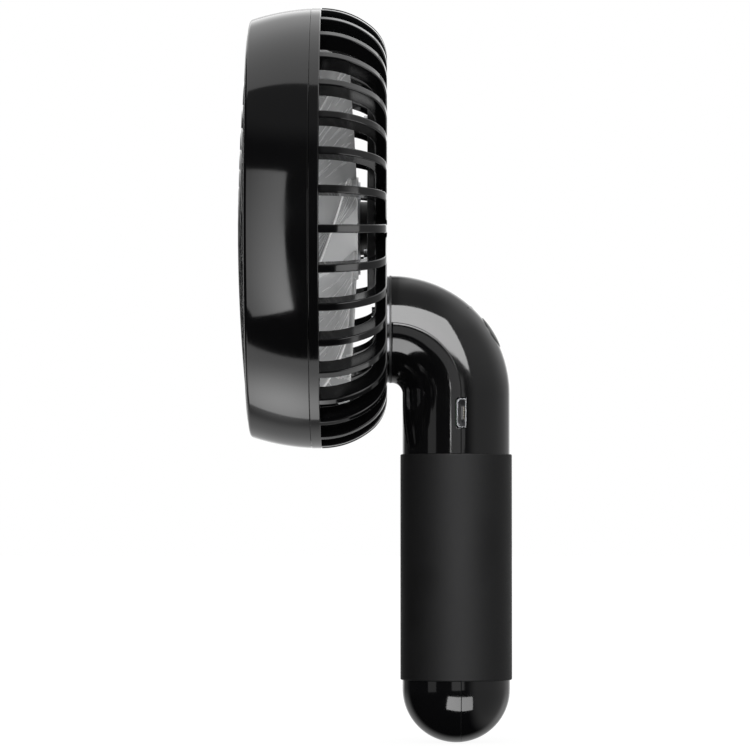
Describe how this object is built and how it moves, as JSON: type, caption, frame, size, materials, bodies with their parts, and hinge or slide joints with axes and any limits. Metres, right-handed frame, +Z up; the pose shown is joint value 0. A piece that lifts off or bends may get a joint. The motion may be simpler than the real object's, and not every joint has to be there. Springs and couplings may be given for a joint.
{
  "type": "handheld fan",
  "caption": "Handheld rechargeable fan: round guarded head that swivels on a bent tubular neck, with a rubber-sleeved grip and a micro-USB inlet.",
  "frame": {"origin": "middle of the rubber sleeve of the grip, on its axis", "axes": "+Z runs up the grip towards the head, -X is the way the fan blows, Y is across"},
  "size_m": [0.0712, 0.1146, 0.1909],
  "materials": {
    "black_gloss": "moulded gloss black",
    "black_satin": "moulded satin black",
    "smoke_clear": "smoke-tinted translucent",
    "sleeve_rubber": "fine matt",
    "steel": "plated",
    "can_zinc": "drawn, plated",
    "laminations": "varnished sheet",
    "copper": "enamelled wire",
    "bronze": "sintered",
    "ferrite": "bonded ferrite",
    "board_green": "solder mask",
    "chip_black": "moulded",
    "lead_black": "insulation",
    "lead_red": "insulation",
    "spigot_zinc": "die cast",
    "washer_nylon": "natural",
    "cell_steel": "nickel plated",
    "wrap_blue": "shrink film",
    "nickel": "strip",
    "foam": "closed cell",
    "gold": "plated",
    "guide_clear": "clear",
    "part_white": "moulded"
  },
  "bodies": {
    "handle": {"front_shell": "black_gloss", "rear_shell": "black_gloss", "grip_sleeve": "sleeve_rubber", "shell_screws": "steel", "swivel_collar": "black_satin", "friction_washer": "washer_nylon", "cell": "cell_steel", "cell_wrap": "wrap_blue", "cell_tabs": "nickel", "cell_pads": "foam", "cell_leads": "lead_red", "control_board": "board_green", "board_parts": "chip_black", "board_link": "nickel", "usb_shell": "steel", "usb_tongue": "chip_black", "usb_contacts": "gold", "key_board": "board_green", "key_switch": "chip_black", "status_leds": "part_white", "light_guide": "guide_clear", "neck_lead": "lead_black"},
    "head": {"front_ring": "black_gloss", "front_grille": "black_gloss", "grille_cap": "black_gloss", "rear_cage": "black_gloss", "motor_mount": "black_satin", "mount_screws": "steel", "shaft_bushes": "bronze", "stator_core": "laminations", "stator_coils": "copper", "motor_board": "board_green", "motor_lead": "lead_black", "swivel_spigot": "spigot_zinc", "spigot_screws": "steel"},
    "rotor": {"impeller": "smoke_clear", "rotor_can": "can_zinc", "rotor_magnet": "ferrite", "motor_shaft": "steel", "shaft_clip": "steel"},
    "button": {"power_button": "black_gloss", "key_plunger": "part_white"}
  },
  "joints": [
    {"name": "head_swivel", "type": "hinge", "parent": "handle", "child": "head", "pos_m": [-0.0168, 0, 0.0618], "axis": [1, 0, 0], "range_deg": [0, 180]},
    {"name": "impeller_spin", "type": "hinge", "parent": "head", "child": "rotor", "pos_m": [-0.03, 0, 0.0881], "axis": [-1, 0, 0], "continuous": true},
    {"name": "button_press", "type": "slide", "parent": "handle", "child": "button", "axis": [-0.8517, 0, -0.524], "range_m": [0, 0.0005], "stiffness_N_per_m": 3000}
  ]
}
